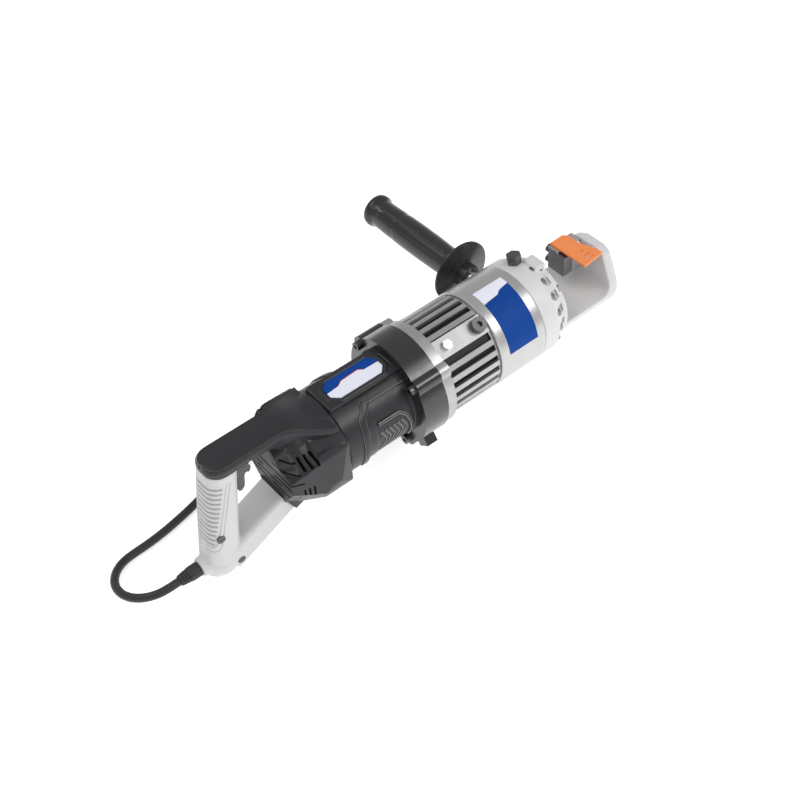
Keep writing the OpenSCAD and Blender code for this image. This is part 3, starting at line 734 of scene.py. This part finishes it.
def cover_radius(x, a):
    """The cover behind the motor: round at the seam, with a faceted bulge low on both sides."""
    down = from_top(a)
    r = SKIN_R
    # It narrows to the rear face in two steps
    r = lerp(r, SHOULDER_R, smooth(-211, COVER_SHOULDER, x))
    if x < COVER_SHOULDER:
        r = lerp(SHOULDER_R, 27.5, min((COVER_SHOULDER - x) / 7.5, 1))
    side, up = math.sin(math.radians(down)), math.cos(math.radians(down))
    reach = math.inf
    for nx, ns, nu, offset in BULGE:
        lean = ns * side + nu * up
        if lean > 0.05:
            reach = min(reach, (offset - nx * x) / lean)
    # The bulge stands clear of the beam above it
    r = lerp(r, max(r, min(reach, BULGE_MOST)), smooth(30, 34, down))
    # A hollow between the beam and the bulge
    if reach < r + 0.01:
        r -= 2.2 * band(34, 58, 5, down) * smooth(-180, -200, x)
    r -= 0.9 * smooth(MOTOR_BACK - 1.2, MOTOR_BACK, x)
    return r


def make_cover():
    """The cover's shell with its cooling slots. No two slots of a cut may overlap."""
    rings = []
    steps = 300
    stations = [lerp(MOTOR_BACK, COVER_SHOULDER, i / 72) for i in range(73)]
    stations += [lerp(-224.4, -231.5, i / 12) for i in range(13)]
    for x in stations:
        ring = []
        for k in range(steps):
            r, a = cover_radius(x, 360 * k / steps), 2 * math.pi * k / steps
            ring.append((x, r * math.cos(a), r * math.sin(a)))
        rings.append(ring)
    last = rings[-1]
    for f in (0.95, 0.5, 0.01):
        rings.append([(COVER_REAR, y * f, z * f) for x, y, z in last])
    inner = [circle_x(x, r, steps)
             for x, r in ((-228.5, 0.3), (-228.5, 24), (-221, 34), (-206, 38), (MOTOR_BACK, 38))]
    obj = new_object("cover_shell", make_mesh("cover_shell", *loft(rings + inner, closed=True)))
    # Long slots across the domed rear face
    slots = [(4.5, -40, 40), (-9.5, -19, 19)]
    for z, y0, y1 in ((22.5, 16, 32), (13.5, 8, 37), (-3, 8, 34), (-16, 4, 30)):
        slots += [(z, y0, y1), (z, -y1, -y0)]
    carve(obj, [box_shape((-236, y0, z - 0.9), (-221, y1, z + 0.9)) for z, y0, y1 in slots])
    # Short slots round the lower sides, and longer ones above them
    cuts = []
    for i in range(3):
        for turn in (-11, 191):
            x = -222.6 + 4 * i
            cuts.append(turn_x(box_shape((x, 30, -4 - i), (x + 1.6, 60, 4 + i)), turn))
        for turn in (33, 147):
            x = -219 + 5.4 * i
            cuts.append(turn_x(box_shape((x, 30, -7), (x + 2.4, 60, 7)), turn))
    carve(obj, cuts)
    finish_piece(obj, "black_plastic", stands_for=("rear_cover",), sharp=24)


make_cover()
BEAM_Z = 40.5
BEAM_REAR = -277.5


def beam_half(x, r):
    """Half the width of the beam's outline at x, round at its rear end."""
    back = BEAM_REAR - x
    if back > 0:
        return r * max(1 - (back / r) ** 2.5, 0.002) ** 0.4
    return r + (0 if x < -226 else 13.5 * smooth(-226, -176, x) + 2.2 * smooth(-226, -205, x))


def make_beam():
    """The beam over the grip: a cap with a crisp edge on a narrower band, widening into the cover."""
    levels = [(BEAM_Z, 16.4), (45.5, 16.6), (46.1, 17.3), (47.2, 17.2), (50.6, 15.3)]
    rings = []
    xs = [BEAM_REAR - 15.27 * math.cos(math.radians(a)) for a in range(0, 90, 5)]
    xs += [BEAM_REAR + 3 * i for i in range(35)]
    for x in xs:
        fall = 13.5 * smooth(-222, -176, x) ** 1.15
        deep = lerp(0, 18, smooth(-236, -214, x))
        half_ring = []
        for z, r in levels:
            back = (x - BEAM_REAR) * r / 15.3 if x < BEAM_REAR else x - BEAM_REAR
            half = beam_half(BEAM_REAR + back, r)
            half_ring.append((BEAM_REAR + back, half, z - fall - (deep if z == BEAM_Z else 0)))
        # The slightly domed top
        last_x, last_half, last_z = half_ring[-1]
        half_ring += [(last_x, last_half * f, last_z + rise * (1 + fall * 0.25))
                      for f, rise in ((0.93, -0.25), (0.8, -0.1), (0.5, 0.4), (0.2, 0.7))]
        ring = half_ring + [(px, -py, pz) for px, py, pz in reversed(half_ring)]
        rings.append(ring)
    obj = new_object("beam", make_mesh("beam", *loft(rings)))
    carve(obj, [box_shape((-288, -11, 30), (-236, 11, 46))])
    finish_piece(obj, "black_plastic", sharp=28, edge=0.45, shine=True)


make_beam()

# ---- Grip ----------------------------------------------------------------------------------------
GRIP_TOP, GRIP_FOOT = (-279.5, 40), (-296, -66)
HUB = (-296, -72)
BEND_R, LINE_HALF = 9, 0.9  # the seam line's bend and half its width
SHELL_SCREWS = ((-298, -30), (-284, -71))


def bar_xz(a, b, half_a, half_b, deep_a, deep_b, corner):
    """A bar with round corners between two points of the xz plane."""
    dx, dz = b[0] - a[0], b[1] - a[1]
    length = math.hypot(dx, dz)
    ux, uz = dx / length, dz / length
    rings = []
    for t in (0, 0.25, 0.5, 0.75, 1):
        half, deep = lerp(half_a, half_b, t), lerp(deep_a, deep_b, t)
        section = rounded_section(half, deep, corner)
        cx, cz = a[0] + dx * t, a[1] + dz * t
        rings.append([(cx - uz * v, y, cz + ux * v) for y, v in section])
    return loft(rings)


def grip_axis(x, z):
    """Distance down the grip from its top, and how far in front of its centre line."""
    dx, dz = GRIP_FOOT[0] - GRIP_TOP[0], GRIP_FOOT[1] - GRIP_TOP[1]
    length = math.hypot(dx, dz)
    dx, dz = dx / length, dz / length
    px, pz = x - GRIP_TOP[0], z - GRIP_TOP[1]
    return px * dx + pz * dz, px * -dz + pz * dx


def groove(distance, half):
    """A soft groove's depth, from 1 at its middle to 0 at its edges."""
    return max(0.0, 1 - (distance / half) ** 2)


def make_grip():
    """Grip, foot and strut melted into one skin, with ribs and a double seam line."""
    hub = [(17.2, 5), (14.4, 10), (11.5, 13.8), (9, 16.6), (6, 18.6), (3, 19.7)]
    ball = [(-17.2, 0)] + [(-y, r) for y, r in hub] + [(0, 20)]
    ball += [(y, r) for y, r in reversed(hub)] + [(17.2, 0)]
    parts = [
        bar_xz(GRIP_TOP, GRIP_FOOT, 15.9, 16.8, 15.2, 15.8, 11.5),
        bar_xz((-292, -71), (-212.5, -31.6), 17, 16.8, 13.6, 13.6, 5),
        lathe_y(ball, *HUB, steps=64),
        # The rear end of the foot carries the cord's boot
        shift(lathe_x([(-318, 0), (-318, 8.4), (-317.2, 9.2), (-296, 12.5), (-296, 0)], 48), 0, BOOT_Z),
    ]
    obj = combine("grip", parts[0], add=parts[1:])
    soften(obj, 0.75, 6)
    groove_shade, moved = [], []
    for vertex in obj.data.vertices:
        x, y, z = (vertex.co - ORIGIN) * 1000
        s, front = grip_axis(x, z)
        t = (s - 12) / 66
        sink = 0.0
        # Ribs round the rear of the grip, ending before the seam
        if 6 < s < 86 and front < 2:
            reach = lerp(-4.5, -12.5, min(max(t, 0), 1))
            fade = smooth(reach + 1.2, reach - 1.2, front) * band(8.5, 80.5, 1.5, s)
            sink = 1.5 * fade * groove(abs((s - 9.6) % 5.5 - 2.75), 1.5) - 0.3 * fade
        # The double line of the seam, which turns to the rear under the ribs
        for lane_top, lane_low, turn in ((-1.2, -10.4, 84.5), (2.6, -6.6, 88.5)):
            lane = lerp(lane_top, lane_low, t)
            bend, centre = turn - BEND_R, lane - BEND_R
            if 8 < s < bend:
                off = abs(front - lane)
            elif front < centre:
                off = abs(s - turn)
            elif s >= bend:
                off = abs(math.hypot(front - centre, s - bend) - BEND_R)
            else:
                off = BEND_R
            if off < LINE_HALF and abs(y) > 3:
                sink = max(sink, 0.6 * groove(off, LINE_HALF))
        moved.extend(vertex.co - vertex.normal * sink / 1000)
        # Painted shade in the grooves: the deeper the groove, the darker its colour
        groove_shade.append(min(max(sink, 0) * 0.55, 0.6))
    obj.data.vertices.foreach_set("co", moved)
    obj.data.update()
    set_groove_shade(obj, groove_shade)
    # Room for the trigger, and the counterbores of the shell screws
    bore = [(-22, 0), (-22, 4.1), (-14.6, 4.1), (-14.6, 0)]
    carve(obj, [box_shape((-276, -7, -14), (-240, 7, 44)),
                *[lathe_y(bore, x, z, 32) for x, z in SHELL_SCREWS]])
    finish_piece(obj, "grey_plastic", stands_for=("handle_half_left", "handle_half_right"), sharp=50)
    # The cover's skirt round the head of the strut
    collar = combine("strut_collar", bar_xz((-227, -38.8), (-203, -26.8), 19.2, 19.6, 15.6, 17, 7),
                     remove=[bar_xz((-240, -45.5), (-213, -31.9), 17.2, 17, 14, 13.8, 7)])
    finish_piece(collar, "black_plastic", edge=0.8)


make_grip()


def make_trigger():
    """A stepped block under the beam with a tapered finger."""
    outline = [(-271.5, 43), (-252.5, 43), (-251.2, 41), (-251, 21), (-252.4, 17), (-256.2, 15.4),
               (-257.6, 13), (-258.6, 4), (-259.6, 0), (-263, -3), (-265.6, -2), (-266.4, 2), (-265.6, 8),
               (-264.8, 15), (-266, 18.5), (-271.5, 24)]
    # The finger is narrower than the block
    obj = combine("trigger_lever", prism_y(outline, -5.6, 5.6),
                  remove=[box_shape((-275, 3.9, -6), (-254.5, 8, 17.5)),
                          box_shape((-275, -8, -6), (-254.5, -3.9, 17.5))])
    finish_piece(obj, "dark_plastic", "trigger", ("trigger",), edge=1.1, segments=3)


make_trigger()

# ---- Side handle ---------------------------------------------------------------------------------
SIDE_X = 61
FLUTE_AT = 128


def handle_wave(y, a):
    """Two broad flutes along the grip."""
    if y < 83 or y > 206:
        return 0
    turn = math.degrees(a) % 180
    depth = 1.6 * band(90, 196, 3, y)
    off = abs(turn - FLUTE_AT)
    return -depth * (1 - smooth(12, 19, min(off, 180 - off)))


def make_side_handle():
    """Hub, hand guard, a slightly barrelled grip with one ring round it, and a flared end."""
    profile = [(62, 6.2), (62, 12), (63, 13), (73, 13.4), (75.5, 17), (76.4, 31.5), (77.2, 33), (79, 33),
               (80, 32), (80.6, 18), (82, 16.2), (84, 15)]
    for i in range(45):
        y = 86 + 2.6 * i
        r = 15 + 1.2 * math.sin(math.pi * (y - 86) / 118) ** 1.3
        if abs(y - 170.5) < 1.4:
            r -= 0.35
        profile.append((y, r))
    profile += [(202.5, 15.2), (205, 17), (206.5, 17.6), (210, 17.6), (211.8, 17), (213, 15), (213, 0)]
    shape = lathe_y(profile, SIDE_X, 0, 180, handle_wave)
    obj = new_object("side_grip", make_mesh("side_grip", *shape))
    finish_piece(obj, "black_plastic_gloss", stands_for=("side_handle",), sharp=40)


make_side_handle()

# ---- Cutting head --------------------------------------------------------------------------------
HEAD_FRONT, WALL_X, MOUTH_X, FLOOR_Z = 172, 158, 92, -15
BOLT_RING = 44.8
# Every 20 degrees, with a gap where the stud of the side handle goes in
BOLT_ANGLES = [98 + 20 * i for i in range(16) if i != 13]


def head_section(shrink):
    """The arm's outline across its length, drawn in towards a point 4 mm under the axis."""
    half = [(12, 30), (20.5, 25.5), (27.5, 10), (33.5, -4), (36, -14), (34.5, -22), (30, -29), (23, -34),
            (13, -36)]
    out = half + [(-y, z) for y, z in reversed(half)]
    return [(y * (1 - shrink), -4 + (z + 4) * (1 - shrink)) for y, z in out]


def make_head():
    """Hub and open arm as one rounded casting, with the mouth, the rod's bore and the pockets cut out."""
    stations = [(84, 0.0), (110, 0.0), (150, 0.0), (163, 0.0), (168, 0.03), (171, 0.09), (HEAD_FRONT, 0.16)]
    arm = loft([[(x, y, z) for y, z in head_section(s)] for x, s in stations])
    hub = lathe_x([(55, 0), (55, 49.2), (55.8, 50), (73, 50), (82.5, 44.2), (83.5, 43), (90.5, 42.6),
                   (92.5, 41.2), (92.5, 0)], 128)
    boss = box_shape((77, -11, 30), (90, 7, 50.5))
    cove = 12
    corner = [(WALL_X - cove, FLOOR_Z - 3), (WALL_X + 2, FLOOR_Z - 3), (WALL_X + 2, FLOOR_Z + cove)]
    for a in range(80, 0, -10):
        s, c = math.sin(math.radians(a)), math.cos(math.radians(a))
        corner.append((WALL_X - cove + cove * s, FLOOR_Z + cove - cove * c))
    mouth = combine("mouth", box_shape((MOUTH_X, -60, FLOOR_Z), (WALL_X, 60, 60)),
                    remove=[prism_y(corner, -61, 61)])
    obj = combine("head", arm, add=[hub])
    boolean(obj, mouth, "DIFFERENCE")
    boolean(obj, new_object("tool", make_mesh("tool", *boss)), "UNION")
    soften(obj, 0.9, 7)
    bore = lathe_x([(54, 0), (54, 26), (70, 26), (70, 20), (83, 20), (83, 18), (85, 18), (85, 14.9),
                    (94, 14.9), (94, 0)], 64)
    carve(obj, [bore, box_shape((83.5, -22, -12), (94, 12, 23))], overlapping=True)
    cuts = []
    for angle in BOLT_ANGLES:
        pocket = lathe_x([(68.5, 0), (68.5, 4.9), (86, 4.9), (86, 0)], 32)
        cuts.append(turn_x(shift(pocket, BOLT_RING, 0), angle))
    for angle in (134, 46):
        hole = lathe_x([(88.6, 0), (88.6, 4.6), (96, 4.6), (96, 0)], 32)
        cuts.append(turn_x(shift(hole, 39.5, 0), angle))
    # The release valve's hole, near the top
    cuts.append(turn_x(lathe_y([(36, 0), (36, 5.2), (60, 5.2), (60, 0)], 70, 0, 32), 78))
    # The fixed blade's screws go in from the front
    for z in (9, 20):
        hole = lathe_x([(150, 0), (150, 2.7), (167, 2.7), (167, 4.7), (176, 4.7), (176, 0)], 32)
        cuts.append(shift(hole, 11, z))
    carve(obj, cuts, overlapping=True)
    finish_piece(obj, "pale_paint", stands_for=("cutter_head",), sharp=40)


make_head()


def make_head_screws():
    """Knurled cap screws in the head's pockets."""
    socket_r = 2.6
    profile = [(50, 0.01), (50, 2.9), (69, 2.9), (69, 4.2), (69.5, 4.5), (77.7, 4.5), (78.5, 3.9),
               (78.5, socket_r), (75, socket_r), (75, 0.01)]
    rings = []
    for x, r in profile:
        ring = []
        for k in range(48):
            a = 2 * math.pi * k / 48
            rr = r - (0.22 if r > 4.3 and k % 2 else 0)
            if r == socket_r:
                # Six-sided
                rr = 2.3 / math.cos((a + math.pi / 6) % (math.pi / 3) - math.pi / 6)
            ring.append((x, BOLT_RING + rr * math.cos(a), rr * math.sin(a)))
        rings.append(ring)
    screws = joined([turn_x(loft(rings), angle) for angle in BOLT_ANGLES])
    obj = new_object("head_screws", make_mesh("head_screws", *screws))
    finish_piece(obj, "nickel", stands_for=("head_bolts",), material=SCREW_STEEL, sharp=40)


make_head_screws()

# ---- Labels on the cylinder ----------------------------------------------------------------------
LABEL_R = 50.2


def curved_label(name, outline, material):
    """A thin sheet on the cylinder; the outline is in x and degrees from the left side over the top."""
    r, under = LABEL_R, LABEL_R - 0.3
    rings = []
    rows = 48
    low = min(a for x, a in outline)
    high = max(a for x, a in outline)
    for i in range(rows + 1):
        a = lerp(low, high, i / rows)
        xs = []
        for (ax, aa), (bx, ba) in zip(outline, outline[1:] + outline[:1]):
            if (aa - a) * (ba - a) <= 0 and aa != ba:
                xs.append(ax + (bx - ax) * (a - aa) / (ba - aa))
        if len(xs) < 2:
            continue
        x0, x1 = min(xs), max(xs)
        c, s = math.cos(math.radians(a)), math.sin(math.radians(a))
        rings.append([(x0, r * c, r * s), (x1, r * c, r * s), (x1, under * c, under * s),
                      (x0, under * c, under * s)])
    obj = new_object(name, make_mesh(name, *loft(rings)))
    finish_piece(obj, "pale_paint", material=material, sharp=30)


curved_label("label_pale", [(10, 86), (45, 86), (45, 97), (33, 99), (28, 103), (10, 105)], LABEL_PALE)
curved_label("label_blue", [(10, 105.3), (28, 103.3), (33, 99.3), (45, 97.3), (45, 168), (10, 168)],
             LABEL_BLUE)

# ---- CAD parts that keep their shape -------------------------------------------------------------
# Widths of the softened edges, in millimetres
EDGES = {"gear_case": 0.9, "pump_case": 0.5, "bearing_plate": 0.4, "cylinder_body": 0.3, "oil_plug": 0.5,
         "vent_bolt": 0.5, "case_screws": 0.3, "release_valve": 0.8, "handle_stud": 0.5,
         "fixed_blade": 0.4, "moving_blade": 0.3, "blade_block": 0.5, "side_screws": 0.4,
         "guard_plate": 0.3, "handle_screws": 0.3, "plug_pins": 0.1, "blade_holder": 0.5, "piston": 0.5}
for node in frame["nodes"]:
    thing = bpy.data.objects.get(node)
    if thing is None or thing.type != "MESH":
        continue
    for place in thing.material_slots:
        place.material = MATS[SLOT_OF[node]]
    if not thing.material_slots:
        thing.data.materials.append(MATS[SLOT_OF[node]])
    if node in EDGES:
        bevel(thing, EDGES[node], 2, 30)

# ---- Light and floor -----------------------------------------------------------------------------


def area_light(name, spot, aim, size, power):
    data = bpy.data.lights.new(name, "AREA")
    data.shape = "RECTANGLE"
    data.size, data.size_y = size
    data.energy = power
    obj = bpy.data.objects.new(name, data)
    obj.location = spot
    obj.rotation_euler = (Vector(aim) - Vector(spot)).to_track_quat("-Z", "Y").to_euler()
    bpy.context.scene.collection.objects.link(obj)


def make_stage():
    """A pale floor, an even sky and three soft lights; distances in metres, lights in watts."""
    mesh = bpy.data.meshes.new("floor")
    reach = 30
    corners = [(-reach, -reach, 0), (reach, -reach, 0), (reach, reach, 0), (-reach, reach, 0)]
    mesh.from_pydata(corners, [], [(0, 1, 2, 3)])
    floor = new_object("floor", mesh)
    n = Nodes("floor")
    n.uniform(Base_Color=(0.97, 0.97, 0.97, 1), Roughness=0.9)
    n.uniform(Emission_Color=(1, 1, 1, 1), Emission_Strength=0.55)
    mesh.materials.append(n.mat)
    world = bpy.data.worlds.new("studio")
    world.use_nodes = True
    world.node_tree.nodes["Background"].inputs[0].default_value = (1, 1, 1, 1)
    world.node_tree.nodes["Background"].inputs[1].default_value = 0.5
    bpy.context.scene.world = world
    area_light("key", (-0.7, 0.5, 1.7), (0, 0, 0.1), (1.6, 0.5), 8)
    area_light("side", (0.35, -1.2, 1.2), (0.1, 0, 0.1), (1.4, 0.35), 8)
    area_light("front", (0.9, -0.9, 1.3), (0.2, 0, 0.05), (0.7, 0.7), 3.5)
    bpy.context.scene.view_settings.view_transform = "Standard"


make_stage()
